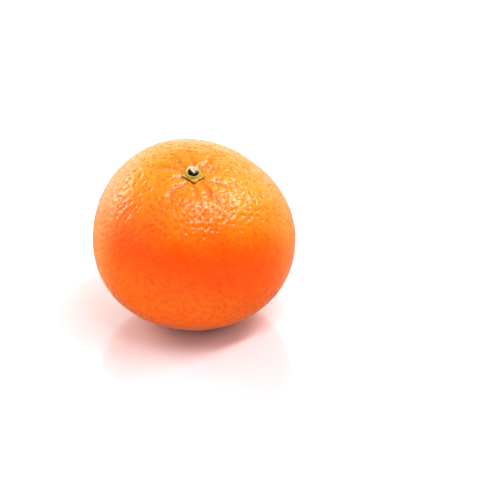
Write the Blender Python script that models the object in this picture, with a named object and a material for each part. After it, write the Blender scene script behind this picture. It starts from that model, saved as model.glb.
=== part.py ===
"""A mandarin, as picked, resting on a surface.

It is made of the fruit, the small star-shaped calyx at its stem end, and the dry
cut end of the stem, which sits down in a socket in the calyx.

Units are metres, with +Z up. The fruit rests on a small flat spot, and the origin
is in the middle of that spot. The stem end leans from +Z towards -Y.
"""

import math

import bmesh
import bpy
from mathutils import Matrix, Vector

# The fruit's body: a rounded solid with a round equator, a crown above it and a
# base below it. A fullness of 2 gives an ellipse, and more gives a squarer curve.
EQUATOR_RADIUS = 0.0340
CROWN_HEIGHT = 0.0315
BASE_HEIGHT = 0.0279
CROWN_FULLNESS = 2.0
BASE_FULLNESS = 2.25
BODY_LEAN = math.radians(5)

# One shoulder stands higher than the one across from it, by this share of the crown.
SHOULDER_RISE = 0.14
SHOULDER_AZIMUTH = math.radians(137)

# The flat spot on the underside, as the height that it takes off the base.
REST_DEPTH = 0.0004

# Where the stem grew: its lean from +Z towards -Y, and to the side, towards -X.
STEM_LEAN = math.radians(20.5)
STEM_SIDE_LEAN = math.radians(1)

# The dimple round the calyx, and the smaller one at the blossom end, across from it.
STEM_DIMPLE_DEPTH = 0.0017
STEM_DIMPLE_RADIUS = 0.0068
BLOSSOM_DIMPLE_DEPTH = 0.0007
BLOSSOM_DIMPLE_RADIUS = 0.0040

# The creases that run out from the calyx: the azimuth in degrees about the stem,
# and the reach and depth in metres.
CREASES = (
    (-88, 0.0110, 0.00055),
    (-55, 0.0150, 0.00060),
    (-22, 0.0130, 0.00050),
    (18, 0.0100, 0.00030),
    (52, 0.0120, 0.00045),
    (90, 0.0095, 0.00030),
    (126, 0.0100, 0.00050),
    (158, 0.0125, 0.00060),
    (-165, 0.0090, 0.00030),
    (-130, 0.0140, 0.00055),
)
CREASE_WIDTH = 0.0009

# The calyx: a thin star with lobes, and a raised collar round the stem's socket.
# Each lobe has its azimuth in degrees about the stem, and its reach from the middle.
CALYX_LOBES = (
    (195, 0.0037),
    (118, 0.0034),
    (42, 0.0036),
    (-18, 0.0038),
    (-82, 0.0036),
)
CALYX_WAIST = 0.0029
LOBE_HALF_ANGLE = math.radians(33)
LOBE_THICKNESS = 0.00065
LOBE_TIP_THICKNESS = 0.00035
COLLAR_WALL = 0.0005
COLLAR_HEIGHT = 0.0014
SOCKET_RADIUS = 0.0018
SOCKET_FLOOR = 0.0005

# The stem's cut end: its lowest and highest edge above the socket's floor.
STUB_LOW = 0.0004
STUB_HIGH = 0.0009
STUB_RISE_AZIMUTH = math.radians(50)

# The gap left between pieces that touch.
FIT_GAP = 0.0003

# How finely the round shapes are divided.
FRUIT_SEGMENTS = 72
FRUIT_RINGS = 44
RING_GATHER = 0.22
CALYX_SEGMENTS = 60
STUB_SEGMENTS = 32
SMOOTH_ANGLE = math.radians(40)

BODY_FRAME = Matrix.Rotation(BODY_LEAN, 3, "X")
STEM_FRAME = Matrix.Rotation(STEM_LEAN, 3, "X") @ Matrix.Rotation(-STEM_SIDE_LEAN, 3, "Y")


def clear_scene():
    """Remove whatever the scene already holds."""
    for old in list(bpy.data.objects):
        bpy.data.objects.remove(old, do_unlink=True)


def bell(distance, width):
    """A smooth bump of height 1 that fades to nothing past its width."""
    return math.exp(-((distance / width) ** 2))


def body_radius(direction):
    """The distance from the fruit's middle to its smooth outline."""
    local = BODY_FRAME.transposed() @ direction
    across = math.hypot(local.x, local.y)
    if local.z > 0:
        azimuth = math.atan2(local.y, local.x)
        rise = SHOULDER_RISE * across * math.cos(azimuth - SHOULDER_AZIMUTH)
        height = CROWN_HEIGHT * (1 + rise)
        fullness = CROWN_FULLNESS
    else:
        height = BASE_HEIGHT
        fullness = BASE_FULLNESS
    flat_share = (across / EQUATOR_RADIUS) ** fullness
    tall_share = (abs(local.z) / height) ** fullness
    return (flat_share + tall_share) ** (-1 / fullness)


def crease_depth(reach, azimuth):
    """How deep the creases round the calyx are at a reach and azimuth about the stem."""
    depth = 0.0
    for degrees, length, full_depth in CREASES:
        turn = math.remainder(azimuth - math.radians(degrees), math.tau)
        if abs(turn) > math.pi / 2:
            continue
        aside = reach * math.sin(turn)
        middle = (CALYX_WAIST + length) / 2
        half = (length - CALYX_WAIST) / 2
        depth += full_depth * bell(aside, CREASE_WIDTH) * bell(reach - middle, half)
    return depth


def peel_radius(direction):
    """The distance from the fruit's middle to its surface, with dimples and creases."""
    about_stem = STEM_FRAME.transposed() @ direction
    polar = math.atan2(math.hypot(about_stem.x, about_stem.y), about_stem.z)
    azimuth = math.atan2(about_stem.y, about_stem.x)
    reach = polar * CROWN_HEIGHT
    far_reach = (math.pi - polar) * BASE_HEIGHT
    radius = body_radius(direction)
    radius -= STEM_DIMPLE_DEPTH * bell(reach, STEM_DIMPLE_RADIUS)
    radius -= BLOSSOM_DIMPLE_DEPTH * bell(far_reach, BLOSSOM_DIMPLE_RADIUS)
    return radius - crease_depth(reach, azimuth)


def on_peel(reach, azimuth, lift):
    """The point a height above the peel, at a reach and azimuth about the stem."""
    polar = reach / CROWN_HEIGHT
    about_stem = Vector((
        math.sin(polar) * math.cos(azimuth),
        math.sin(polar) * math.sin(azimuth),
        math.cos(polar),
    ))
    direction = STEM_FRAME @ about_stem
    return direction * (peel_radius(direction) + lift)


def make_material(name, colour, roughness):
    """A plain Principled material."""
    material = bpy.data.materials.new(name)
    material.use_nodes = True
    shader = material.node_tree.nodes["Principled BSDF"]
    shader.inputs["Base Color"].default_value = (*colour, 1.0)
    shader.inputs["Roughness"].default_value = roughness
    shader.inputs["Metallic"].default_value = 0.0
    return material


def add_object(name, shape, material):
    """Turn a finished bmesh into a smooth-shaded object of the scene."""
    bmesh.ops.recalc_face_normals(shape, faces=shape.faces)
    mesh = bpy.data.meshes.new(name)
    shape.to_mesh(mesh)
    shape.free()
    mesh.shade_smooth()
    mesh.set_sharp_from_angle(angle=SMOOTH_ANGLE)
    mesh.materials.append(material)
    piece = bpy.data.objects.new(name, mesh)
    bpy.context.collection.objects.link(piece)
    return piece


def spin_section(section, segments):
    """Spin a closed section, given as (reach, lift) points from axis to axis, about Z."""
    shape = bmesh.new()
    corners = [shape.verts.new((reach, 0, lift)) for reach, lift in section]
    edges = [shape.edges.new(pair) for pair in zip(corners, corners[1:])]
    bmesh.ops.spin(
        shape,
        geom=corners + edges,
        cent=(0, 0, 0),
        axis=(0, 0, 1),
        angle=math.tau,
        steps=segments,
        use_merge=True,
    )
    bmesh.ops.remove_doubles(shape, verts=shape.verts, dist=1e-6)
    return shape


def cut_rest_spot(shape):
    """Cut the underside flat, and return the middle of the flat spot."""
    lowest = min(corner.co.z for corner in shape.verts)
    level = Vector((0, 0, lowest + REST_DEPTH))
    cut = bmesh.ops.bisect_plane(
        shape,
        geom=shape.verts[:] + shape.edges[:] + shape.faces[:],
        dist=1e-5,
        plane_co=level,
        plane_no=(0, 0, -1),
        clear_outer=True,
    )
    rim = [item for item in cut["geom_cut"] if isinstance(item, bmesh.types.BMEdge)]
    filled = bmesh.ops.edgeloop_fill(shape, edges=rim)
    return filled["faces"][0].calc_center_median_weighted()


def make_fruit():
    """The fruit, from a sphere whose poles are at the stem end and the blossom end.

    Returns the object and the middle of its flat spot, which it hasn't been moved to.
    """
    shape = bmesh.new()
    bmesh.ops.create_uvsphere(
        shape,
        u_segments=FRUIT_SEGMENTS,
        v_segments=FRUIT_RINGS,
        radius=1,
    )
    for corner in shape.verts:
        about_stem = corner.co.normalized()
        polar = math.acos(max(-1.0, min(1.0, about_stem.z)))
        azimuth = math.atan2(about_stem.y, about_stem.x)
        polar -= RING_GATHER * math.sin(2 * polar)
        direction = STEM_FRAME @ Vector((
            math.sin(polar) * math.cos(azimuth),
            math.sin(polar) * math.sin(azimuth),
            math.cos(polar),
        ))
        corner.co = direction * peel_radius(direction)
    rest_spot = cut_rest_spot(shape)
    peel = make_material("orange_peel", (0.95, 0.27, 0.02), 0.42)
    return add_object("fruit", shape, peel), rest_spot


def lobe_reach(azimuth):
    """The calyx's outline: the farthest reach of its star at an azimuth."""
    reach = CALYX_WAIST
    for degrees, tip in CALYX_LOBES:
        turn = abs(math.remainder(azimuth - math.radians(degrees), math.tau))
        if turn < LOBE_HALF_ANGLE:
            share = 1 - turn / LOBE_HALF_ANGLE
            reach += (tip - CALYX_WAIST) * share * share * (3 - 2 * share)
    return reach


def make_calyx():
    """The calyx, a turned section whose rim is drawn out into lobes, laid on the peel."""
    collar_outer = SOCKET_RADIUS + COLLAR_WALL
    shape = spin_section(
        (
            (0, 0),
            (SOCKET_RADIUS / 2, 0),
            (SOCKET_RADIUS, 0),
            (collar_outer, 0),
            ((collar_outer + CALYX_WAIST) / 2, 0),
            (CALYX_WAIST, 0),
            (CALYX_WAIST, LOBE_TIP_THICKNESS),
            ((collar_outer + CALYX_WAIST) / 2, LOBE_THICKNESS),
            (collar_outer, LOBE_THICKNESS),
            (collar_outer, (LOBE_THICKNESS + COLLAR_HEIGHT) / 2),
            (SOCKET_RADIUS + COLLAR_WALL * 0.7, COLLAR_HEIGHT),
            (SOCKET_RADIUS, COLLAR_HEIGHT),
            (SOCKET_RADIUS, SOCKET_FLOOR),
            (SOCKET_RADIUS / 2, SOCKET_FLOOR),
            (0, SOCKET_FLOOR),
        ),
        CALYX_SEGMENTS,
    )
    for corner in shape.verts:
        reach = math.hypot(corner.co.x, corner.co.y)
        azimuth = math.atan2(corner.co.y, corner.co.x)
        if reach > collar_outer:
            share = (reach - collar_outer) / (CALYX_WAIST - collar_outer)
            reach = collar_outer + share * (lobe_reach(azimuth) - collar_outer)
        corner.co = on_peel(reach, azimuth, FIT_GAP + corner.co.z)
    green = make_material("calyx_green", (0.42, 0.40, 0.08), 0.6)
    return add_object("calyx", shape, green)


def make_stem_stub():
    """The stem's cut end: a short round plug in the socket, with a sloping top."""
    radius = SOCKET_RADIUS - FIT_GAP
    shape = spin_section(
        (
            (0, 0),
            (radius / 2, 0),
            (radius, 0),
            (radius, 1),
            (radius / 2, 1),
            (0, 1),
        ),
        STUB_SEGMENTS,
    )
    floor = FIT_GAP + SOCKET_FLOOR + FIT_GAP
    for corner in shape.verts:
        reach = math.hypot(corner.co.x, corner.co.y)
        azimuth = math.atan2(corner.co.y, corner.co.x)
        slope = reach / radius * math.cos(azimuth - STUB_RISE_AZIMUTH)
        top = STUB_LOW + (STUB_HIGH - STUB_LOW) * (1 + slope) / 2
        corner.co = on_peel(reach, azimuth, floor + top * corner.co.z)
    wood = make_material("dry_stem", (0.10, 0.06, 0.03), 0.85)
    return add_object("stem_stub", shape, wood)


def main():
    """Build the three pieces and move them to rest on the origin's level."""
    clear_scene()
    fruit, rest_spot = make_fruit()
    for piece in (fruit, make_calyx(), make_stem_stub()):
        piece.location = -rest_spot


main()
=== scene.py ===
"""A ripe mandarin on a white sweep, with its calyx and the dry end of its stem.

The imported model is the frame: the fruit, the calyx and the stem stub are built again
here at full finish, on the same outlines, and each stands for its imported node.

Units are metres, with +Z up. The fruit rests on the level z = 0.
"""

import logging
import math
from dataclasses import dataclass, field
from enum import Enum
from typing import Any

import bmesh
import bpy
import numpy as np
from bmesh.types import BMesh
from bpy.types import Material, Mesh, Node, NodeSocket, NodeTree, Object
from mathutils import Matrix, Vector, noise


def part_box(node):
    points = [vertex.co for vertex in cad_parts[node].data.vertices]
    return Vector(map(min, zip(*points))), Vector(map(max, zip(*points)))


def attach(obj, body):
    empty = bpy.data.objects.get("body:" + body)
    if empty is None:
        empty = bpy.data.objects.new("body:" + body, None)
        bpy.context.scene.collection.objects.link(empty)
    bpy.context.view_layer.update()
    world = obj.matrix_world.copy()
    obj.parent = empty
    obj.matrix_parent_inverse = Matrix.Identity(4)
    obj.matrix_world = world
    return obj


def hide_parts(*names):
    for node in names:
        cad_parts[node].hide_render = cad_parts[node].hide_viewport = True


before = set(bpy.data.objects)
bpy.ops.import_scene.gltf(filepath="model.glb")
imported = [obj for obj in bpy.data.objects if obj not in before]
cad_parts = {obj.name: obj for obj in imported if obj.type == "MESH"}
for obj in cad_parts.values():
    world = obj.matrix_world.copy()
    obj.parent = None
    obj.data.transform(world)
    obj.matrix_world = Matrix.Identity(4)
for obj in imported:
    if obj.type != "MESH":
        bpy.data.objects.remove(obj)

LOG = logging.getLogger("mandarin")
MM = 0.001
BODY = "root"
REST_MAP = "rest_place"
# Painted shade in the peel's creases.
CREASE_SHADE_MAP = "crease"
TORN_MAP = "torn"
PAINTED_RIM_LIGHT_MAP = "rim"
DRY_EDGE_SHADE_MAP = "edge"
SMOOTH = {"interpolation_type": "SMOOTHSTEP"}


class FruitEnd(Enum):
    """The two ends of the fruit, as each one's angle from the stem's axis."""

    STEM = 0.0
    BLOSSOM = math.pi


def linear(code: str) -> tuple[float, float, float, float]:
    """Turn an sRGB hex colour into linear light.

    Args:
        code: Six hex digits, with or without a leading #.

    Returns:
        Red, green, blue and an alpha of 1.
    """
    parts = [int(code.lstrip("#")[i:i + 2], 16) / 255 for i in (0, 2, 4)]
    light = [c / 12.92 if c <= 0.04045 else ((c + 0.055) / 1.055) ** 2.4 for c in parts]
    return light[0], light[1], light[2], 1.0


def add_node(
    tree: NodeTree,
    kind: str,
    settings: dict[str, Any] | None = None,
    inputs: dict[Any, Any] | None = None,
) -> Node:
    """Add a node with its settings and links.

    Args:
        tree: The node tree that gets the node.
        kind: The node's type name.
        settings: Values for the node's own properties.
        inputs: For each input, by name or number, a value or the socket that feeds it.

    Returns:
        The new node.
    """
    node = tree.nodes.new(kind)
    for name, value in (settings or {}).items():
        setattr(node, name, value)
    for key, value in (inputs or {}).items():
        if isinstance(value, NodeSocket):
            tree.links.new(value, node.inputs[key])
        else:
            node.inputs[key].default_value = value
    return node


def new_finish(name: str) -> tuple[Material, NodeTree, Node]:
    """Start a finish.

    Args:
        name: What the surface is, and how it was made.

    Returns:
        The material, its node tree and its shader.
    """
    finish = bpy.data.materials.new(name)
    finish.use_nodes = True
    return finish, finish.node_tree, finish.node_tree.nodes["Principled BSDF"]


def lay_tints(tree: NodeTree, base: str, layers: list[tuple[NodeSocket, str]]) -> NodeSocket:
    """Lay tints over a colour, one after another.

    Args:
        tree: The finish's node tree.
        base: The hex colour underneath.
        layers: Each tint's share, as a socket, and its hex colour.

    Returns:
        The socket of the finished colour.
    """
    colour = linear(base)
    for share, tint in layers:
        colour = add_node(
            tree, "ShaderNodeMix", {"data_type": "RGBA"}, {0: share, 6: colour, 7: linear(tint)}
        ).outputs[2]
    return colour


def bell(distance: np.ndarray, width: float | np.ndarray) -> np.ndarray:
    """A smooth bump of height 1 that fades to nothing past its width."""
    return np.exp(-((distance / width) ** 2))


def smooth_step(share: float | np.ndarray) -> float | np.ndarray:
    """Ease a share from 0 to 1 with a level start and a level end."""
    held = np.clip(share, 0.0, 1.0)
    return held * held * (3 - 2 * held)


@dataclass(frozen=True)
class Crease:
    """One crease in the peel that runs out from the calyx, its azimuth in degrees."""

    azimuth: float
    reach: float
    depth: float


@dataclass(frozen=True)
class FruitForm:
    """The fruit's outline: a rounded body, a dimple at each end, and the creases."""

    equator_radius: float = 34.0 * MM
    crown_height: float = 31.5 * MM
    base_height: float = 27.9 * MM
    crown_fullness: float = 2.0
    base_fullness: float = 2.25
    body_lean: float = math.radians(5)
    shoulder_rise: float = 0.14
    shoulder_azimuth: float = math.radians(137)
    stem_lean: float = math.radians(20.5)
    stem_side_lean: float = math.radians(1)
    stem_dimple_depth: float = 1.7 * MM
    stem_dimple_radius: float = 6.8 * MM
    blossom_dimple_depth: float = 0.7 * MM
    blossom_dimple_radius: float = 4.0 * MM
    crease_start: float = 2.9 * MM
    crease_width: float = 0.45 * MM
    crease_spread: float = 0.07
    crease_wander: float = 0.06
    wander_length: float = 1.9 * MM
    wander_shift: float = 2.4
    creases: tuple[Crease, ...] = (
        Crease(-88, 11.0 * MM, 0.50 * MM),
        Crease(-55, 15.0 * MM, 0.62 * MM),
        Crease(-22, 13.0 * MM, 0.52 * MM),
        Crease(18, 10.0 * MM, 0.35 * MM),
        Crease(52, 12.0 * MM, 0.50 * MM),
        Crease(90, 9.5 * MM, 0.35 * MM),
        Crease(126, 10.0 * MM, 0.50 * MM),
        Crease(158, 12.5 * MM, 0.62 * MM),
        Crease(-165, 9.0 * MM, 0.35 * MM),
        Crease(-130, 14.0 * MM, 0.55 * MM),
    )

    def body_frame(self) -> np.ndarray:
        """The turn from the leaning body's own axes to the world's."""
        return np.array(Matrix.Rotation(self.body_lean, 3, "X"))

    def stem_frame(self) -> np.ndarray:
        """The turn from axes about the stem to the world's axes."""
        forward = Matrix.Rotation(self.stem_lean, 3, "X")
        return np.array(forward @ Matrix.Rotation(-self.stem_side_lean, 3, "Y"))

    def about_stem(self, polar: np.ndarray, azimuth: np.ndarray) -> np.ndarray:
        """Directions in the world from angles about the stem.

        Args:
            polar: The angle from the stem's axis.
            azimuth: The turn round the stem's axis.

        Returns:
            Unit directions, one a row.
        """
        local = np.stack([
            np.sin(polar) * np.cos(azimuth),
            np.sin(polar) * np.sin(azimuth),
            np.cos(polar),
        ], axis=-1)
        return local @ self.stem_frame().T

    def stem_angles(self, towards: np.ndarray) -> tuple[np.ndarray, np.ndarray]:
        """The angles about the stem of directions in the world.

        Args:
            towards: Unit directions, one a row.

        Returns:
            Each one's angle from the stem's axis, and its turn round that axis.
        """
        local = towards @ self.stem_frame()
        polar = np.arctan2(np.hypot(local[..., 0], local[..., 1]), local[..., 2])
        return polar, np.arctan2(local[..., 1], local[..., 0])

    def body_radius(self, towards: np.ndarray) -> np.ndarray:
        """The distance from the fruit's middle to its smooth outline.

        Args:
            towards: Unit directions, one a row.

        Returns:
            One distance for each direction.
        """
        local = towards @ self.body_frame()
        across = np.hypot(local[..., 0], local[..., 1])
        azimuth = np.arctan2(local[..., 1], local[..., 0])
        rise = self.shoulder_rise * across * np.cos(azimuth - self.shoulder_azimuth)
        upper = local[..., 2] > 0
        height = np.where(upper, self.crown_height * (1 + rise), self.base_height)
        fullness = np.where(upper, self.crown_fullness, self.base_fullness)
        flat_share = (across / self.equator_radius) ** fullness
        tall_share = (np.abs(local[..., 2]) / height) ** fullness
        return (flat_share + tall_share) ** (-1 / fullness)

    def crease_depth(self, reach: np.ndarray, azimuth: np.ndarray) -> np.ndarray:
        """How deep the creases are at places about the stem.

        Args:
            reach: The distance along the peel from the stem's axis.
            azimuth: The turn round the stem's axis.

        Returns:
            The depth at each place.
        """
        depth = np.zeros_like(reach)
        for number, crease in enumerate(self.creases):
            phase = reach / self.wander_length + self.wander_shift * number
            wander = self.crease_wander * np.sin(phase)
            turn = azimuth - math.radians(crease.azimuth) + wander
            turn = np.arctan2(np.sin(turn), np.cos(turn))
            aside = reach * np.sin(turn)
            middle = (self.crease_start + crease.reach) / 2
            half = (crease.reach - self.crease_start) / 2
            width = self.crease_width + self.crease_spread * reach
            run = crease.depth * bell(aside, width) * bell(reach - middle, half)
            depth += np.where(np.abs(turn) < math.pi / 2, run, 0.0)
        return depth

    def peel_radius(self, towards: np.ndarray) -> np.ndarray:
        """The distance from the fruit's middle to its peel, with dimples and creases.

        Args:
            towards: Unit directions, one a row.

        Returns:
            One distance for each direction.
        """
        polar, azimuth = self.stem_angles(towards)
        reach = polar * self.crown_height
        far_reach = (math.pi - polar) * self.base_height
        radius = self.body_radius(towards)
        radius -= self.stem_dimple_depth * bell(reach, self.stem_dimple_radius)
        radius -= self.blossom_dimple_depth * bell(far_reach, self.blossom_dimple_radius)
        return radius - self.crease_depth(reach, azimuth)

    def middle(self) -> np.ndarray:
        """The place of the fruit's middle in the world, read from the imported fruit's box.

        Returns:
            The middle's x, y and z.
        """
        polar, azimuth = np.meshgrid(
            np.linspace(0, math.pi, 361), np.linspace(0, math.tau, 721)
        )
        towards = self.about_stem(polar.ravel(), azimuth.ravel())
        outline = towards * self.peel_radius(towards)[:, None]
        low, high = (np.array(corner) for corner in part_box("fruit"))
        sides = ((low + high) - (outline.min(axis=0) + outline.max(axis=0))) / 2
        return np.array([sides[0], sides[1], high[2] - outline[:, 2].max()])

    def on_peel(self, reach: float, azimuth: float, lift: float) -> np.ndarray:
        """The point a height above the peel, at a reach and azimuth about the stem.

        Args:
            reach: The distance along the peel from the stem's axis.
            azimuth: The turn round the stem's axis.
            lift: The height above the smooth peel.

        Returns:
            The point, from the fruit's middle.
        """
        polar = np.array(reach / self.crown_height)
        towards = self.about_stem(polar, np.array(azimuth))
        return towards * (self.peel_radius(towards) + lift)


@dataclass(frozen=True)
class OilGlands:
    """The oil glands in the peel, as small pits between soft ridges.

    The same nodes make the pits in the mesh and in the finish, so that both agree. Real
    glands lie from 1 to 2 mm apart, and the pits fade towards the smoother underside.
    """

    spacing: float = 1.65 * MM
    scatter: float = 1.0
    pit_floor: float = 0.0
    pit_rim: float = 0.70
    smooth_below: float = 22 * MM
    coarse_above: float = 48 * MM
    smooth_share: float = 0.35

    def strength(self, tree: NodeTree, place: NodeSocket) -> NodeSocket:
        """How strongly the glands stand out: fully on the crown, and less below.

        Args:
            tree: The tree of a material or of a mesh's relief.
            place: The socket that gives the place on the peel.

        Returns:
            The socket of the share, up to 1.
        """
        level = add_node(tree, "ShaderNodeSeparateXYZ", {}, {0: place}).outputs["Z"]
        share = add_node(tree, "ShaderNodeMapRange", SMOOTH, {
            "Value": level,
            "From Min": self.smooth_below,
            "From Max": self.coarse_above,
            "To Min": self.smooth_share,
        })
        return share.outputs[0]

    def height(self, tree: NodeTree, place: NodeSocket) -> NodeSocket:
        """Add the glands to a node tree.

        Args:
            tree: The tree of a material or of a mesh's relief.
            place: The socket that gives the place on the peel.

        Returns:
            The socket of the height: 0 in a pit and 1 on the peel between pits.
        """
        cells = add_node(tree, "ShaderNodeTexVoronoi", {"feature": "F1"}, {
            "Vector": place, "Scale": 1 / self.spacing, "Randomness": self.scatter,
        })
        rise = add_node(tree, "ShaderNodeMapRange", SMOOTH, {
            "Value": cells.outputs["Distance"],
            "From Min": self.pit_floor,
            "From Max": self.pit_rim,
        })
        return rise.outputs["Result"]


@dataclass(frozen=True)
class PeelRelief:
    """The peel's uneven skin: broad lumps, small swellings and the glands' pits."""

    glands: OilGlands = OilGlands()
    lump_size: float = 11 * MM
    lump_height: float = 0.55 * MM
    swelling_size: float = 2.1 * MM
    swelling_height: float = 0.29 * MM
    pit_depth: float = 0.23 * MM

    def modifier_tree(self) -> NodeTree:
        """The nodes that keep each corner's smooth place and then raise the relief.

        Returns:
            A node tree for a mesh.
        """
        tree = bpy.data.node_groups.new("peel relief", "GeometryNodeTree")
        for way in ("INPUT", "OUTPUT"):
            tree.interface.new_socket(
                "Geometry", in_out=way, socket_type="NodeSocketGeometry"
            )
        source = add_node(tree, "NodeGroupInput")
        place = add_node(tree, "GeometryNodeInputPosition").outputs["Position"]
        kept = add_node(
            tree,
            "GeometryNodeStoreNamedAttribute",
            {"data_type": "FLOAT_VECTOR", "domain": "POINT"},
            {"Geometry": source.outputs[0], "Name": REST_MAP, "Value": place},
        )
        strength = self.glands.strength(tree, place)
        layers = [(self.glands.height(tree, place), self.pit_depth, 1.0, strength)]
        for size, height, share in (
            (self.lump_size, self.lump_height, 1.0),
            (self.swelling_size, self.swelling_height, strength),
        ):
            rough = add_node(tree, "ShaderNodeTexNoise", {}, {
                "Vector": place, "Scale": 1 / size, "Detail": 1.5, "Roughness": 0.45,
            })
            layers.append((rough.outputs[0], height, 0.5, share))
        level = 0.0
        for value, height, middling, share in layers:
            raised = add_node(tree, "ShaderNodeMath", {"operation": "MULTIPLY_ADD"}, {
                0: value, 1: height, 2: -height * middling,
            })
            level = add_node(tree, "ShaderNodeMath", {"operation": "MULTIPLY_ADD"}, {
                0: raised.outputs[0], 1: share, 2: level,
            }).outputs[0]
        outward = add_node(tree, "ShaderNodeVectorMath", {"operation": "SCALE"}, {
            0: add_node(tree, "GeometryNodeInputNormal").outputs[0],
            "Scale": level,
        })
        moved = add_node(tree, "GeometryNodeSetPosition", {}, {
            "Geometry": kept.outputs[0], "Offset": outward.outputs[0],
        })
        add_node(tree, "NodeGroupOutput", {}, {0: moved.outputs[0]})
        return tree


@dataclass(frozen=True)
class PaintedSideLight:
    """Painted light on one side of the fruit, paler towards its edge: which way it is, and its
    spread.
    """

    side: tuple[float, float, float]
    start: float
    full: float
    strength: float


@dataclass(frozen=True)
class RipeAndLitBand:
    """A band of the ripening, partly painted light from above: its colour, where it starts and
    where it is full.
    """

    colour: str
    start: float
    full: float


@dataclass(frozen=True)
class EndSpot:
    """The colour round one end of the fruit: how far it spreads, and how much shows.

    Within the core, a share of the radius, it doesn't fade.
    """

    end: FruitEnd
    colour: str
    radius: float
    strength: float
    core: float = 0.4


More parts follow.
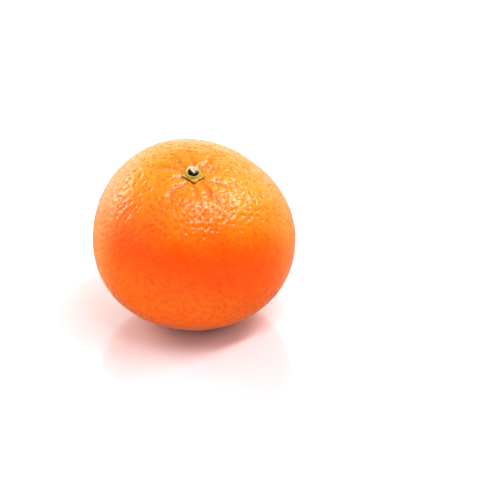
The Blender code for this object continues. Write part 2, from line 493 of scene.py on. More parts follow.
@dataclass(frozen=True)
class CitrusPeel:
    """Ripe mandarin peel, as grown, with its natural wax.

    The wax gives a soft window-like shine that the glands' pits break into sparkles.
    Oil glands show as deeper orange points, and light goes a little way into the peel.
    The bloom on the wax makes the fruit's edge look pale, and painted light makes its left and
    right sides paler still.
    """

    form: FruitForm
    glands: OilGlands = OilGlands()
    # Painted bounce light: below the lowest band the peel is paler again, for light from the
    # floor.
    underside: str = "#FF7614"
    # The bands are partly the fruit's ripening and partly painted light: they grow paler towards
    # the top, where the light falls.
    bands: tuple[RipeAndLitBand, ...] = (
        RipeAndLitBand("#FF5E00", -4 * MM, 12 * MM),
        RipeAndLitBand("#FF8006", 13 * MM, 26 * MM),
        RipeAndLitBand("#FF9A0A", 22 * MM, 37 * MM),
    )
    # Painted light: the paler colour towards the fruit's left and right edges.
    side_light_colour: str = "#FFA04A"
    gland_colour: str = "#DC5200"
    # Painted shade: the creases are a deeper orange.
    crease_shade_colour: str = "#EC6C00"
    neck: EndSpot = EndSpot(FruitEnd.STEM, "#F5A524", 9.0 * MM, 0.35)
    scar: EndSpot = EndSpot(FruitEnd.BLOSSOM, "#6B4420", 1.5 * MM, 0.9)
    bloom_colour: str = "#FFDCCB"
    leather_colour: str = "#D25400"
    leather_share: float = 0.38
    leather_range: tuple[float, float] = (0.48, 0.72)
    gland_share: float = 0.50
    gland_brim: float = 0.8
    # The way the bands run, mostly up: partly ripening, partly painted light from above.
    ripe_and_lit_axis: tuple[float, float, float] = (0.18, 0.17, 0.97)
    # Painted light on the fruit's left and right sides.
    painted_side_lights: tuple[PaintedSideLight, ...] = (
        PaintedSideLight((-0.95, 0.30, 0.0), 22 * MM, 36 * MM, 0.8),
        PaintedSideLight((0.97, 0.15, 0.0), 19 * MM, 40 * MM, 0.7),
    )
    patch_size: float = 20 * MM
    patch_reach: float = 10 * MM
    mottle_size: float = 7 * MM
    mottle_reach: float = 12 * MM
    leather_size: float = 1.5 * MM
    # The grain between the glands is finer than 0.3 mm, and is drawn coarser to show.
    grain_size: float = 0.80 * MM
    bump_depth: float = 0.05 * MM
    polished: float = 0.18
    dull: float = 0.34

    def material(self, middle: np.ndarray) -> Material:
        """Build the finish.

        Args:
            middle: The place of the fruit's middle.

        Returns:
            The peel's material.
        """
        finish, tree, shader = new_finish("citrus_peel_waxy")
        place = add_node(
            tree, "ShaderNodeAttribute", {"attribute_name": REST_MAP}
        ).outputs["Vector"]
        pits = self.glands.height(tree, place)
        colour = self.colour(tree, place, pits, middle)
        tree.links.new(colour, shader.inputs["Base Color"])
        wear = add_node(tree, "ShaderNodeTexNoise", {}, {
            "Vector": place, "Scale": 1 / self.mottle_size, "Detail": 4.0,
        })
        rough = add_node(tree, "ShaderNodeMapRange", {}, {
            "Value": wear.outputs[0], "To Min": self.polished, "To Max": self.dull,
        })
        tree.links.new(rough.outputs[0], shader.inputs["Roughness"])
        tree.links.new(self.bump(tree, place, pits), shader.inputs["Normal"])
        for socket, value in {
            "IOR": 1.45,
            "Coat Weight": 0.22,
            "Coat Roughness": 0.12,
            "Sheen Weight": 0.42,
            "Sheen Roughness": 0.28,
            "Sheen Tint": linear(self.bloom_colour),
            "Subsurface Weight": 0.25,
            "Subsurface Radius": (1.0, 0.32, 0.08),
            "Subsurface Scale": 2.5 * MM,
        }.items():
            shader.inputs[socket].default_value = value
        return finish

    def colour(
        self, tree: NodeTree, place: NodeSocket, pits: NodeSocket, middle: np.ndarray
    ) -> NodeSocket:
        """Lay the colours: ripening with painted light from above, painted bounce light below,
        painted side light, mottling, glands, painted shade in the creases, neck and scar.

        Args:
            tree: The peel's node tree.
            place: The place on the smooth peel.
            pits: The glands' height.
            middle: The place of the fruit's middle.

        Returns:
            The socket of the finished colour.
        """
        from_middle = add_node(
            tree, "ShaderNodeVectorMath", {"operation": "SUBTRACT"}, {0: place, 1: tuple(middle)}
        ).outputs[0]
        drift = add_node(tree, "ShaderNodeVectorMath", {"operation": "DOT_PRODUCT"}, {
            0: from_middle,
            1: self.ripe_and_lit_axis,
        }).outputs["Value"]
        mottle, patches = (
            add_node(tree, "ShaderNodeTexNoise", {}, {
                "Vector": place,
                "Scale": 1 / size,
                "Detail": detail,
            }).outputs[0]
            for size, detail in ((self.mottle_size, 3.0), (self.patch_size, 1.0))
        )
        for uneven, reach in ((mottle, self.mottle_reach), (patches, self.patch_reach)):
            drift = add_node(tree, "ShaderNodeMath", {"operation": "MULTIPLY_ADD"}, {
                0: uneven, 1: reach, 2: drift,
            }).outputs[0]
        layers = []
        # Partly ripening and partly painted light: paler towards the top.
        for band in self.bands:
            share = add_node(tree, "ShaderNodeMapRange", SMOOTH, {
                "Value": drift, "From Min": band.start, "From Max": band.full,
            })
            layers.append((share.outputs[0], band.colour))
        # Painted light: paler towards the fruit's left and right edges.
        for side_light in self.painted_side_lights:
            across = add_node(tree, "ShaderNodeVectorMath", {"operation": "DOT_PRODUCT"}, {
                0: from_middle, 1: side_light.side,
            }).outputs["Value"]
            across = add_node(tree, "ShaderNodeMath", {"operation": "MULTIPLY_ADD"}, {
                0: patches, 1: self.patch_reach, 2: across,
            }).outputs[0]
            share = add_node(tree, "ShaderNodeMapRange", SMOOTH, {
                "Value": across,
                "From Min": side_light.start,
                "From Max": side_light.full,
                "To Max": side_light.strength,
            })
            layers.append((share.outputs[0], self.side_light_colour))
        leather = add_node(tree, "ShaderNodeTexNoise", {}, {
            "Vector": place, "Scale": 1 / self.leather_size, "Detail": 3.0, "Roughness": 0.6,
        })
        leathery = add_node(tree, "ShaderNodeMapRange", SMOOTH, {
            "Value": leather.outputs[0],
            "From Min": self.leather_range[0],
            "From Max": self.leather_range[1],
            "To Max": self.leather_share,
        })
        in_pit = add_node(tree, "ShaderNodeMapRange", {}, {
            "Value": pits,
            "From Max": self.gland_brim,
            "To Min": self.gland_share,
            "To Max": 0.0,
        })
        # Painted shade in the creases, by their depth.
        crease = add_node(tree, "ShaderNodeAttribute", {"attribute_name": CREASE_SHADE_MAP})
        layers += [
            (self.end_share(tree, from_middle, self.neck), self.neck.colour),
            (leathery.outputs[0], self.leather_colour),
            (in_pit.outputs[0], self.gland_colour),
            (crease.outputs["Fac"], self.crease_shade_colour),
            (self.end_share(tree, from_middle, self.scar), self.scar.colour),
        ]
        # The underside's colour underneath is painted bounce light.
        return lay_tints(tree, self.underside, layers)

    def end_share(self, tree: NodeTree, from_middle: NodeSocket, spot: EndSpot) -> NodeSocket:
        """How much of a spot's colour there is round its end of the fruit.

        Args:
            tree: The peel's node tree.
            from_middle: The place on the peel, from the fruit's middle.
            spot: The end's own colour and its spread.

        Returns:
            The socket of the share.
        """
        tip = self.form.about_stem(np.array(spot.end.value), np.array(0.0))
        tip = tip * self.form.peel_radius(tip)
        away = add_node(tree, "ShaderNodeVectorMath", {"operation": "DISTANCE"}, {
            0: from_middle, 1: tuple(tip),
        })
        share = add_node(tree, "ShaderNodeMapRange", SMOOTH, {
            "Value": away.outputs["Value"],
            "From Min": spot.radius * spot.core,
            "From Max": spot.radius,
            "To Min": spot.strength,
            "To Max": 0.0,
        })
        return share.outputs[0]

    def bump(self, tree: NodeTree, place: NodeSocket, pits: NodeSocket) -> NodeSocket:
        """Sharpen the glands' pits, and add the fine grain between them.

        Args:
            tree: The peel's node tree.
            place: The place on the smooth peel.
            pits: The glands' height.

        Returns:
            The socket of the shaded normal.
        """
        strength = self.glands.strength(tree, place)
        deep = add_node(tree, "ShaderNodeBump", {}, {
            "Strength": strength, "Distance": self.bump_depth, "Height": pits,
        })
        grain = add_node(tree, "ShaderNodeTexVoronoi", {"feature": "SMOOTH_F1"}, {
            "Vector": place, "Scale": 1 / self.grain_size, "Smoothness": 0.4,
        })
        fine = add_node(tree, "ShaderNodeBump", {}, {
            "Strength": strength,
            "Distance": self.bump_depth,
            "Height": grain.outputs["Distance"],
            "Normal": deep.outputs[0],
        })
        return fine.outputs[0]


@dataclass(frozen=True)
class DriedSepal:
    """The calyx's sepals, half dried on the fruit: yellow-green, with painted light on the
    collar's far rim.

    The dull, slightly wrinkled surface scatters light evenly, with no clear shine.
    """

    fresh: str = "#BC9A30"
    pale: str = "#EBCB6E"
    green: str = "#8C8A2C"
    # Painted light: the collar's far rim is paler, where the light falls.
    painted_far_rim_light: str = "#F3DFA6"
    # Partly the sepals' own dry brown edge, partly painted shade along it.
    edge: str = "#6E460A"
    patch_size: float = 1.6 * MM
    patch_range: tuple[float, float] = (0.35, 0.65)
    # Real fibres are finer than 0.1 mm, and are drawn coarser to show.
    fibre_size: float = 0.35 * MM
    fibre_range: tuple[float, float] = (0.45, 0.75)
    fibre_depth: float = 0.05 * MM
    roughness: float = 0.55

    def material(self) -> Material:
        """Build the finish.

        Returns:
            The calyx's material.
        """
        finish, tree, shader = new_finish("dried_sepal")
        place = add_node(tree, "ShaderNodeTexCoord").outputs["Object"]
        patches = add_node(tree, "ShaderNodeTexNoise", {}, {
            "Vector": place, "Scale": 1 / self.patch_size, "Detail": 3.0,
        })
        share = add_node(tree, "ShaderNodeMapRange", SMOOTH, {
            "Value": patches.outputs[0],
            "From Min": self.patch_range[0],
            "From Max": self.patch_range[1],
        })
        fibres = add_node(tree, "ShaderNodeTexNoise", {}, {
            "Vector": place, "Scale": 1 / self.fibre_size, "Detail": 4.0,
        })
        lit = add_node(tree, "ShaderNodeMapRange", {}, {
            "Value": fibres.outputs[0],
            "From Min": self.fibre_range[0],
            "From Max": self.fibre_range[1],
        })
        layers = [(share.outputs[0], self.fresh), (lit.outputs[0], self.pale)]
        for attribute, tint in ((PAINTED_RIM_LIGHT_MAP, self.painted_far_rim_light), (DRY_EDGE_SHADE_MAP, self.edge)):
            share = add_node(tree, "ShaderNodeAttribute", {"attribute_name": attribute})
            layers.append((share.outputs["Fac"], tint))
        colour = lay_tints(tree, self.green, layers)
        tree.links.new(colour, shader.inputs["Base Color"])
        bump = add_node(tree, "ShaderNodeBump", {}, {
            "Strength": 1.0, "Distance": self.fibre_depth, "Height": fibres.outputs[0],
        })
        tree.links.new(bump.outputs[0], shader.inputs["Normal"])
        shader.inputs["Roughness"].default_value = self.roughness
        return finish


@dataclass(frozen=True)
class DryStemWood:
    """The stem's cut end, dried out: dark, rough wood with a pale torn ridge.

    The wood is near black, partly its own dry dark brown and partly painted shade of the socket,
    so only the torn ridge stands out.
    """

    # Partly the dry wood's dark brown, partly painted shade: near black, for the shade in the
    # socket.
    dark: str = "#160A03"
    grey: str = "#4A3A22"
    torn: str = "#F0DCC0"
    grey_share: float = 0.35
    grey_range: tuple[float, float] = (0.4, 0.8)
    # Real wood fibres are too fine to show, and are drawn coarser.
    fibre_size: float = 0.25 * MM
    fibre_depth: float = 0.08 * MM
    roughness: float = 0.8
    gloss: float = 0.15

    def material(self) -> Material:
        """Build the finish.

        Returns:
            The stem stub's material.
        """
        finish, tree, shader = new_finish("dry_stem_wood")
        place = add_node(tree, "ShaderNodeTexCoord").outputs["Object"]
        fibres = add_node(tree, "ShaderNodeTexNoise", {}, {
            "Vector": place, "Scale": 1 / self.fibre_size, "Detail": 4.0,
        })
        share = add_node(tree, "ShaderNodeMapRange", {}, {
            "Value": fibres.outputs[0],
            "From Min": self.grey_range[0],
            "From Max": self.grey_range[1],
            "To Max": self.grey_share,
        })
        torn = add_node(tree, "ShaderNodeAttribute", {"attribute_name": TORN_MAP})
        layers = [(share.outputs[0], self.grey), (torn.outputs["Fac"], self.torn)]
        tree.links.new(lay_tints(tree, self.dark, layers), shader.inputs["Base Color"])
        bump = add_node(tree, "ShaderNodeBump", {}, {
            "Strength": 1.0, "Distance": self.fibre_depth, "Height": fibres.outputs[0],
        })
        tree.links.new(bump.outputs[0], shader.inputs["Normal"])
        shader.inputs["Roughness"].default_value = self.roughness
        shader.inputs["Specular IOR Level"].default_value = self.gloss
        return finish


@dataclass(frozen=True)
class SatinSweep:
    """The studio's white sweep, satin acrylic, that glows away from the fruit as painted light.

    It keeps a soft trace of the fruit's reflection, and fades to plain white around it.
    """

    white: str = "#F1F0F2"
    # Painted light: how strongly the far sweep glows.
    glow: float = 0.85
    glow_from: float = 0.09
    glow_to: float = 0.30
    gloss: float = 0.21
    gloss_roughness: float = 0.09

    def material(self) -> Material:
        """Build the finish.

        Returns:
            The floor's material.
        """
        finish, tree, shader = new_finish("satin_white_sweep")
        place = add_node(tree, "ShaderNodeTexCoord").outputs["Object"]
        away = add_node(
            tree, "ShaderNodeVectorMath", {"operation": "LENGTH"}, {0: place}
        ).outputs["Value"]
        # Painted light: the sweep glows by emission beyond the fruit, in place of light on the
        # far sweep.
        glow = add_node(tree, "ShaderNodeMapRange", SMOOTH, {
            "Value": away,
            "From Min": self.glow_from,
            "From Max": self.glow_to,
            "To Max": self.glow,
        })
        tree.links.new(glow.outputs[0], shader.inputs["Emission Strength"])
        shader.inputs["Emission Color"].default_value = (1, 1, 1, 1)
        shader.inputs["Base Color"].default_value = linear(self.white)
        shader.inputs["Specular IOR Level"].default_value = 0.0
        gloss = add_node(
            tree, "ShaderNodeBsdfAnisotropic", {}, {"Roughness": self.gloss_roughness}
        )
        mixed = add_node(tree, "ShaderNodeMixShader", {}, {
            0: self.gloss, 1: shader.outputs[0], 2: gloss.outputs[0],
        })
        output = tree.nodes["Material Output"]
        tree.links.new(mixed.outputs[0], output.inputs["Surface"])
        return finish


def finish_piece(name: str, shape: BMesh, material: Material) -> Object:
    """Turn a bmesh into a smooth-shaded object.

    Args:
        name: The object's name.
        shape: The finished bmesh, which is freed.
        material: The object's finish.

    Returns:
        The new object, linked to the scene.
    """
    bmesh.ops.recalc_face_normals(shape, faces=shape.faces)
    mesh = bpy.data.meshes.new(name)
    shape.to_mesh(mesh)
    shape.free()
    mesh.shade_smooth()
    mesh.materials.append(material)
    piece = bpy.data.objects.new(name, mesh)
    bpy.context.collection.objects.link(piece)
    return piece


def stand_for(piece: Object, node: str) -> None:
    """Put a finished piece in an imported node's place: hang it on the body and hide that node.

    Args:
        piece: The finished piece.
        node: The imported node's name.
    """
    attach(piece, BODY)
    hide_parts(node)
    LOG.info("%s: %d faces, for node %s", piece.name, len(piece.data.polygons), node)


@dataclass
class Fruit:
    """The whole fruit in its peel."""

    form: FruitForm
    middle: np.ndarray
    relief: PeelRelief = field(default_factory=PeelRelief)
    cuts: int = 125
    gather: float = 0.28
    map_margin: float = 0.012
    crease_full: float = 0.85 * MM
    crease_top: float = 0.8

    def build(self) -> Object:
        """Make the fruit: a round cage, shaped, given its relief and set on the level.

        Returns:
            The finished fruit.
        """
        peel = CitrusPeel(self.form, self.relief.glands).material(self.middle)
        piece = finish_piece("mandarin_fruit", self.cage(), peel)
        self.shape(piece.data)
        skin = piece.modifiers.new("relief", "NODES")
        skin.node_group = self.relief.modifier_tree()
        view = bpy.context.evaluated_depsgraph_get()
        shaped = bpy.data.meshes.new_from_object(
            piece.evaluated_get(view), preserve_all_data_layers=True, depsgraph=view
        )
        piece.modifiers.clear()
        piece.data = shaped
        self.press_flat(shaped)
        stand_for(piece, "fruit")
        return piece

    def cage(self) -> BMesh:
        """A finely divided cube, with its six sides laid out in two rows on its map.

        Returns:
            The cube, from -1 to 1 each way.
        """
        shape = bmesh.new()
        bmesh.ops.create_cube(shape, size=2.0)
        layer = shape.loops.layers.uv.new("OFBake")
        corners = ((0, 0), (1, 0), (1, 1), (0, 1))
        for number, side in enumerate(shape.faces):
            column, row = number % 3, number // 3
            for loop, (right, up) in zip(side.loops, corners):
                across = self.map_margin + right * (1 - 2 * self.map_margin)
                along = self.map_margin + up * (1 - 2 * self.map_margin)
                loop[layer].uv = ((column + across) / 3, (row + along) / 2)
        bmesh.ops.subdivide_edges(
            shape, edges=shape.edges[:], cuts=self.cuts, use_grid_fill=True
        )
        return shape

    def shape(self, mesh: Mesh) -> None:
        """Round the cube into the fruit's outline, with finer faces at the stem end.

        Args:
            mesh: The divided cube, from -1 to 1 each way.
        """
        cube = np.empty(len(mesh.vertices) * 3)
        mesh.vertices.foreach_get("co", cube)
        ball = np.tan(cube.reshape(-1, 3) * math.pi / 4)
        ball /= np.linalg.norm(ball, axis=1, keepdims=True)
        polar = np.arccos(np.clip(ball[:, 2], -1, 1))
        azimuth = np.arctan2(ball[:, 1], ball[:, 0])
        polar -= self.gather * np.sin(polar)
        towards = self.form.about_stem(polar, azimuth)
        place = self.middle + towards * self.form.peel_radius(towards)[:, None]
        mesh.vertices.foreach_set("co", place.ravel())
        depth = self.form.crease_depth(polar * self.form.crown_height, azimuth)
        # The share of painted shade in the creases, from their depth.
        crease = mesh.attributes.new(CREASE_SHADE_MAP, "FLOAT", "POINT")
        share = np.clip(depth / self.crease_full, 0, self.crease_top)
        crease.data.foreach_set("value", share)
        mesh.update()

    def press_flat(self, mesh: Mesh) -> None:
        """Press the underside flat where the fruit rests.

        Args:
            mesh: The fruit's mesh, with its relief.
        """
        place = np.empty(len(mesh.vertices) * 3)
        mesh.vertices.foreach_get("co", place)
        place = place.reshape(-1, 3)
        place[:, 2] = np.maximum(place[:, 2], 0.0)
        mesh.vertices.foreach_set("co", place.ravel())
        mesh.update()


@dataclass(frozen=True)
class Lobe:
    """One lobe of the calyx: its azimuth in degrees, its reach, and its tip's curl."""

    azimuth: float
    reach: float
    curl: float


@dataclass
class Calyx:
    """The star-shaped calyx: a thin blade with lobes, and a collar round the socket."""

    form: FruitForm
    middle: np.ndarray
    waist: float = 2.9 * MM
    lobe_half_angle: float = math.radians(33)
    blade: float = 0.65 * MM
    blade_tip: float = 0.30 * MM
    collar_wall: float = 0.5 * MM
    collar_height: float = 1.4 * MM
    socket_radius: float = 1.8 * MM
    socket_floor: float = 0.5 * MM
    gap: float = 0.3 * MM
    rim_azimuth: float = math.radians(100)
    segments: int = 160
    lobe_point: float = 1.25
    lobe_ridge: float = 0.25 * MM
    lobe_ridge_spread: float = 0.16
    edge_start: float = 0.70
    edge_share: float = 0.9
    waves_per_metre: float = 900.0
    reach_wave: float = 0.06
    blade_wave: float = 0.05 * MM
    far_rim_rise: float = 0.35 * MM
    rim_ease: float = 0.5 * MM
    rim_wave: float = 0.14 * MM
    rim_ripple: float = 0.06 * MM
    rim_ripples: int = 3
    rim_ripple_start: float = 1.0
    rim_wander: float = 0.10 * MM
    lobes: tuple[Lobe, ...] = (
        Lobe(195, 4.1 * MM, 0.15 * MM),
        Lobe(118, 3.7 * MM, 0.45 * MM),
        Lobe(42, 4.1 * MM, 0.25 * MM),
        Lobe(-18, 4.3 * MM, 0.10 * MM),
        Lobe(-82, 4.2 * MM, 0.05 * MM),
    )

    def section(self) -> list[tuple[float, float]]:
        """The turned section, as (reach, lift) points from the underside to the socket.

        Returns:
            The points in order, starting and ending on the axis.
        """
        outer = self.socket_radius + self.collar_wall
        rim = self.blade_tip / 2
        crest = self.collar_wall / 2
        points = [(outer * step / 6, 0.0) for step in range(7)]
        points += [(outer + (self.waist - rim - outer) * s / 4, 0.0) for s in range(1, 5)]
        for step in range(1, 6):
            turn = -math.pi / 2 + math.pi * step / 6
            points.append((
                self.waist - rim + rim * math.cos(turn),
                rim + rim * math.sin(turn),
            ))
        for step in range(0, 6):
            share = step / 5
            points.append((
                self.waist - rim + (outer - self.waist + rim) * share,
                self.blade_tip + (self.blade - self.blade_tip) * share,
            ))
        for step in range(0, 7):
            turn = math.pi * step / 6
            points.append((
                self.socket_radius + crest + crest * math.cos(turn),
                self.collar_height - crest + crest * math.sin(turn),
            ))
        points += [
            (self.socket_radius, (self.collar_height + self.socket_floor) / 2),
            (self.socket_radius, self.socket_floor),
            (self.socket_radius / 2, self.socket_floor),
            (0.0, self.socket_floor),
        ]
        return points

    def outline(self, azimuth: float) -> tuple[float, float, float]:
        """The star at one azimuth.

        Args:
            azimuth: The turn round the stem's axis.

        Returns:
            The blade's reach, the tip's curl, and how near the lobe's middle line it is.
        """
        reach, curl, ridge = self.waist, 0.0, 0.0
        for lobe in self.lobes:
            turn = abs(math.remainder(azimuth - math.radians(lobe.azimuth), math.tau))
            share = max(0.0, 1 - turn / self.lobe_half_angle)
            eased = share ** self.lobe_point
            reach += (lobe.reach - self.waist) * eased
            curl += lobe.curl * eased
            ridge = max(ridge, math.exp(-((turn / self.lobe_ridge_spread) ** 2)))
        return reach, curl, ridge

    def build(self) -> Object:
        """Make the calyx: spin its section, draw out the lobes and lay it on the peel.

        Returns:
            The finished calyx.
        """
        outer = self.socket_radius + self.collar_wall
        shape = spin_section(self.section(), self.segments)
        rim = shape.verts.layers.float.new(PAINTED_RIM_LIGHT_MAP)
        edge = shape.verts.layers.float.new(DRY_EDGE_SHADE_MAP)
        for corner in shape.verts:
            reach = math.hypot(corner.co.x, corner.co.y)
            azimuth = math.atan2(corner.co.y, corner.co.x)
            lift = corner.co.z
            full, curl, ridge = self.outline(azimuth)
            wave = noise.noise(corner.co * self.waves_per_metre)
            # Painted light on the collar's raised rim, on its far side.
            far_side = float(smooth_step(math.cos(azimuth - self.rim_azimuth)))
            raised = float(smooth_step((lift - self.blade) / self.rim_ease))
            corner[rim] = raised * far_side
            if reach > outer:
                # The outer blade darkens to its edge: partly dry brown, partly painted shade.
                share = (reach - outer) / (self.waist - outer)
                dry = (share - self.edge_start) / (1 - self.edge_start)
                corner[edge] = self.edge_share * float(smooth_step(dry))
                reach = outer + share * (full - outer) * (1 + self.reach_wave * wave)
                lift += curl * share * share + self.lobe_ridge * ridge * share * (1 - share)
                lift += self.blade_wave * wave * share
            elif lift > self.blade:
                lift += self.far_rim_rise * far_side * raised
                ripple = math.sin(self.rim_ripples * azimuth + self.rim_ripple_start)
                lift += self.rim_wave * wave + self.rim_ripple * ripple
                reach += self.rim_wander * wave
            corner.co = Vector(
                self.middle + self.form.on_peel(reach, azimuth, self.gap + lift)
            )
        piece = finish_piece("mandarin_calyx", shape, DriedSepal().material())
        stand_for(piece, "calyx")
        return piece


def spin_section(section: list[tuple[float, float]], segments: int) -> BMesh:
    """Spin a section about Z.

    Args:
        section: Points of (reach, lift), from axis to axis.
        segments: How many steps the full turn has.

    Returns:
        The closed turned shape.
    """
    shape = bmesh.new()
    corners = [shape.verts.new((reach, 0.0, lift)) for reach, lift in section]
    edges = [shape.edges.new(pair) for pair in zip(corners, corners[1:])]
    bmesh.ops.spin(
        shape,
        geom=corners + edges,
        cent=(0, 0, 0),
        axis=(0, 0, 1),
        angle=math.tau,
        steps=segments,
        use_merge=True,
    )
    bmesh.ops.remove_doubles(shape, verts=shape.verts, dist=1e-7)
    return shape


@dataclass
class StemStub:
    """The dry cut end of the stem, down in the calyx's socket."""

    calyx: Calyx
    low: float = 0.35 * MM
    high: float = 0.95 * MM
    rise_azimuth: float = math.radians(50)
    ridge_start: tuple[float, float] = (-0.70 * MM, 1.25 * MM)
    ridge_end: tuple[float, float] = (0.40 * MM, -0.20 * MM)
    ridge_width: float = 0.42 * MM
    ridge_height: float = 0.50 * MM
    flap_start: float = 0.55 * MM
    flap_ease: float = 0.35 * MM
    flap_share: float = 0.8
    grain_height: float = 0.10 * MM
    grains_per_metre: float = 2200.0
    rings: int = 16
    segments: int = 72

    def build(self) -> Object:
        """Make the stub: a plug with a sloping, broken top and a torn ridge across it.

        Returns:
            The finished stub.
        """
        radius = self.calyx.socket_radius - self.calyx.gap
        section = [(radius * step / 4, 0.0) for step in range(5)]
        section += [(radius, 0.5)]
        section += [(radius * (1 - step / self.rings), 1.0) for step in range(self.rings + 1)]
        shape = spin_section(section, self.segments)
        torn = shape.verts.layers.float.new(TORN_MAP)
        floor = 2 * self.calyx.gap + self.calyx.socket_floor
        for corner in shape.verts:
            reach = math.hypot(corner.co.x, corner.co.y)
            azimuth = math.atan2(corner.co.y, corner.co.x)
            slope = reach / radius * math.cos(azimuth - self.rise_azimuth)
            top = self.low + (self.high - self.low) * (1 + slope) / 2
            ridge = self.ridge_share(corner.co.xy)
            top += self.ridge_height * ridge
            top += self.grain_height * noise.noise(corner.co * self.grains_per_metre)
            corner[torn] = ridge * corner.co.z
            lift = floor + top * corner.co.z
            corner.co = Vector(
                self.calyx.middle + self.calyx.form.on_peel(reach, azimuth, lift)
            )
        piece = finish_piece("mandarin_stem_stub", shape, DryStemWood().material())
        stand_for(piece, "stem_stub")
        return piece

    def ridge_share(self, place: Vector) -> float:
        """How much of the torn ridge there is at a place across the stub.

        Args:
            place: The place across the stub's top.

        Returns:
            From 0 away from the ridge to 1 along it.
        """
        start, end = Vector(self.ridge_start), Vector(self.ridge_end)
        run = end - start
        along = max(0.0, min(1.0, (place - start).dot(run) / run.length_squared))
        away = (place - (start + run * along)).length
        ridge = math.exp(-((away / self.ridge_width) ** 4))
        out = place.dot(Vector((math.cos(self.rise_azimuth), math.sin(self.rise_azimuth))))
        flap = float(smooth_step((out - self.flap_start) / self.flap_ease))
        return max(ridge, self.flap_share * flap)


@dataclass(frozen=True)
class Softbox:
    """A soft studio light: where it stands, seen from the fruit, and its power in watts.

    The angles are in degrees. Azimuth 0 is at -Y and 90 at +X.
    """

    name: str
    azimuth: float
    elevation: float
    width: float
    height: float
    power: float
    distance: float = 0.60
    roll: float = 0.0
    tint: str = "#FFFFFF"
    mirrored: bool = True

    def place(self, target: Vector) -> None:
        """Set the light up.

        Args:
            target: The point that it faces.
        """
        lamp = bpy.data.lights.new(self.name, "AREA")
        lamp.shape = "RECTANGLE"
        lamp.size = self.width
        lamp.size_y = self.height
        lamp.energy = self.power
        lamp.color = linear(self.tint)[:3]
        turn, tilt = math.radians(self.azimuth), math.radians(self.elevation)
        way = Vector((
            math.sin(turn) * math.cos(tilt),
            -math.cos(turn) * math.cos(tilt),
            math.sin(tilt),
        ))
        light = bpy.data.objects.new(self.name, lamp)
        light.location = target + way * self.distance
        across = (Vector((1, 0, 0)) - way * way.x).normalized()
        across = Matrix.Rotation(math.radians(self.roll), 3, way) @ across
        light.matrix_world = Matrix.Translation(light.location) @ Matrix((
            across, way.cross(across), way
        )).transposed().to_4x4()
        light.visible_camera = False
        light.visible_glossy = self.mirrored
        bpy.context.collection.objects.link(light)


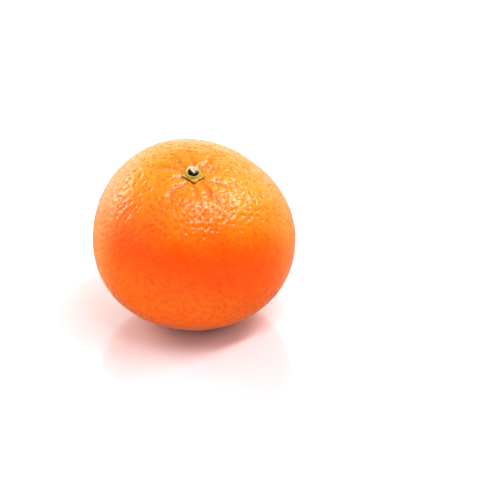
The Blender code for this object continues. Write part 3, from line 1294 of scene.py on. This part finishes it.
@dataclass
class Studio:
    """The sweep, the lights and the camera."""

    middle: Vector
    camera_azimuth: float = math.radians(-2.3)
    camera_elevation: float = math.radians(26)
    camera_distance: float = 0.578
    lens: float = 123.8
    sensor: float = 36.0
    aim_right: float = 18.62 * MM
    aim_down: float = 4.37 * MM
    floor_gap: float = 0.05 * MM
    sweep_radius: float = 4.0
    room_light: float = 0.48
    backdrop: float = 1.1
    mirrored_floor: float = 0.09
    mirrored_roof: float = 0.56
    mirrored_back: float = 0.60
    mirrored_lean: tuple[float, float, float] = (-0.3, 0.55, 0.78)
    roof_fade: tuple[float, float] = (0.10, 0.60)
    back_fade: tuple[float, float] = (0.5, 0.95)
    floor_fade: tuple[float, float] = (-0.45, 0.0)
    softboxes: tuple[Softbox, ...] = (
        Softbox("key_right", 76, 65, 0.76, 0.10, 3.0, roll=40, tint="#FFEEF4"),
        Softbox("fill_left", -127, 25, 0.28, 0.17, 0.75),
        Softbox("bounce_left", -128, 6, 0.50, 0.50, 2.8, mirrored=False),
        Softbox("bounce_right", 120, 10, 0.50, 0.50, 2.0, mirrored=False),
        Softbox("bounce_front", -60, 4, 0.50, 0.50, 0.9, mirrored=False),
    )

    def build(self) -> None:
        """Set up the floor, the light and the camera."""
        self.lay_floor()
        for softbox in self.softboxes:
            softbox.place(self.middle)
        self.light_room()
        self.aim_camera()
        bpy.context.scene.view_settings.view_transform = "Standard"
        bpy.context.scene.view_settings.look = "Medium High Contrast"

    def lay_floor(self) -> None:
        """Lay the white sweep just under the fruit."""
        shape = bmesh.new()
        bmesh.ops.create_circle(shape, cap_ends=True, segments=96, radius=self.sweep_radius)
        bmesh.ops.translate(shape, vec=(0, 0, -self.floor_gap), verts=shape.verts)
        floor = finish_piece("sweep", shape, SatinSweep().material())
        floor.visible_glossy = False

    def light_room(self) -> None:
        """Light the room: white behind, soft all round, and dark below for reflections."""
        room = bpy.data.worlds.new("studio_room")
        bpy.context.scene.world = room
        room.use_nodes = True
        tree = room.node_tree
        back = tree.nodes["Background"]
        path = add_node(tree, "ShaderNodeLightPath")
        way = add_node(tree, "ShaderNodeTexCoord").outputs["Generated"]
        split = add_node(tree, "ShaderNodeSeparateXYZ", {}, {0: way})
        over = add_node(tree, "ShaderNodeVectorMath", {"operation": "DOT_PRODUCT"}, {
            0: way, 1: self.mirrored_lean,
        }).outputs["Value"]
        lit = []
        for facing, fade, most in (
            (over, self.roof_fade, self.mirrored_roof),
            (split.outputs["Y"], self.back_fade, self.mirrored_back),
        ):
            share = add_node(tree, "ShaderNodeMapRange", SMOOTH, {
                "Value": facing, "From Min": fade[0], "From Max": fade[1], "To Max": most,
            })
            lit.append(share.outputs[0])
        above = add_node(tree, "ShaderNodeMath", {"operation": "ADD"}, dict(enumerate(lit)))
        mirrored = add_node(tree, "ShaderNodeMapRange", SMOOTH, {
            "Value": split.outputs["Z"],
            "From Min": self.floor_fade[0],
            "From Max": self.floor_fade[1],
            "To Min": self.mirrored_floor,
            "To Max": above.outputs[0],
        })
        soft = add_node(tree, "ShaderNodeMix", {"data_type": "FLOAT"}, {
            0: path.outputs["Is Glossy Ray"], 2: self.room_light, 3: mirrored.outputs[0],
        })
        strength = add_node(tree, "ShaderNodeMix", {"data_type": "FLOAT"}, {
            0: path.outputs["Is Camera Ray"], 2: soft.outputs[0], 3: self.backdrop,
        })
        back.inputs["Color"].default_value = (1, 1, 1, 1)
        tree.links.new(strength.outputs[0], back.inputs["Strength"])
        room.cycles.sampling_method = "NONE"

    def aim_camera(self) -> None:
        """Stand the camera in front of the fruit and turn it to frame the picture."""
        tilt = self.camera_elevation
        turn = Matrix.Rotation(self.camera_azimuth, 3, "Z")
        towards = turn @ Vector((0, -math.cos(tilt), math.sin(tilt)))
        right = turn @ Vector((1, 0, 0))
        up = towards.cross(right)
        aim = self.middle + right * self.aim_right - up * self.aim_down
        lens = bpy.data.cameras.new("camera")
        lens.lens = self.lens
        lens.sensor_width = self.sensor
        camera = bpy.data.objects.new("camera", lens)
        camera.location = self.middle + towards * self.camera_distance
        camera.rotation_euler = (aim - camera.location).to_track_quat("-Z", "Y").to_euler()
        bpy.context.collection.objects.link(camera)
        bpy.context.scene.camera = camera


def main() -> None:
    """Build the fruit, its calyx and the stem stub, then the studio round them."""
    logging.basicConfig(level=logging.INFO, format="%(name)s: %(message)s")
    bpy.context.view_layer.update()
    form = FruitForm()
    middle = form.middle()
    LOG.info("the fruit's middle is at %s mm", np.round(middle / MM, 2))
    Fruit(form, middle).build()
    calyx = Calyx(form, middle)
    calyx.build()
    StemStub(calyx).build()
    Studio(Vector(middle)).build()


if __name__ == "__main__":
    main()
